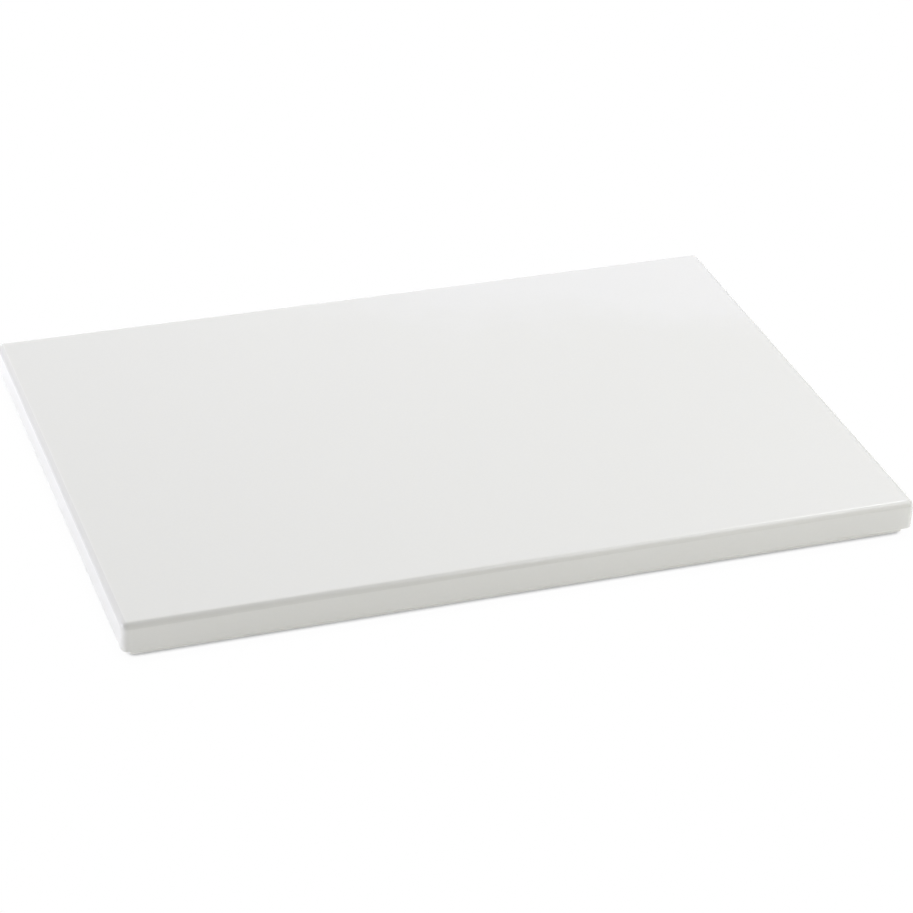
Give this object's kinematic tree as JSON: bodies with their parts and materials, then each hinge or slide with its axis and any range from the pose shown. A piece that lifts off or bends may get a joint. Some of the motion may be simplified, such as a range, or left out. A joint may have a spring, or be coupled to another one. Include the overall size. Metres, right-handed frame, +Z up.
{
  "type": "cutting board",
  "caption": "Flat rectangular white plastic cutting board with a rounded top edge, a set-back base layer and small rubber feet that stop it slipping.",
  "frame": {"origin": "centre of the footprint on the plane that the feet stand on", "axes": "+Z up through the cutting surface, +X along the board's longer side, -Y towards the user"},
  "size_m": [0.4, 0.28, 0.02],
  "materials": {
    "slab_polyethylene": "satin, pressed sheet with a very fine grain and milled, slightly shinier rounded edges",
    "base_polyethylene": "satin, pressed sheet with sawn and scraped edges",
    "foot_rubber": "matt, moulded"
  },
  "bodies": {
    "root": {"cutting_slab": "slab_polyethylene", "base_plate": "base_polyethylene", "foot_front_left": "foot_rubber", "foot_front_right": "foot_rubber", "foot_rear_left": "foot_rubber", "foot_rear_right": "foot_rubber"}
  },
  "joints": []
}
